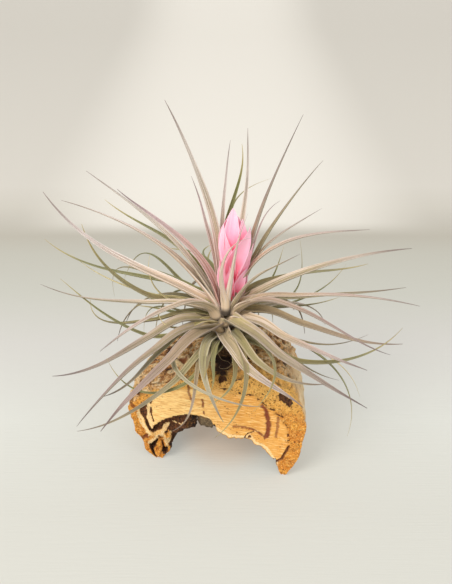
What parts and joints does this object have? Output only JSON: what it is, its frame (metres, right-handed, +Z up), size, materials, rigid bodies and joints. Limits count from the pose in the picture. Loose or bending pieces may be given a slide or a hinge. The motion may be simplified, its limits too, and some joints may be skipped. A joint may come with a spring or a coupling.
{
  "type": "hybrid air plant on a cork bark arch",
  "caption": "Rosette air plant with silvery curling leaves and a pink head of bracts, standing on a half-round arch of cork bark.",
  "frame": {"origin": "point on the surface it stands on, under the plant's stem and the middle of its overall box", "axes": "+Z up; the sawn front of the bark faces -Y; +X to the right seen from the front"},
  "size_m": [0.2348, 0.1621, 0.2153],
  "materials": {
    "cork": "sawn cork, dry and granular, rough grey-brown bark outside",
    "leaf": "living leaf with a silvery bloom of fine scales",
    "bract": "living bract, pink, softly waxy",
    "dry_sheath": "dry brown leaf sheath and wiry root"
  },
  "bodies": {
    "root": {"cork_bark": "cork", "leaf_rosette": "leaf", "bract_head": "bract", "dry_base": "dry_sheath"}
  },
  "joints": []
}
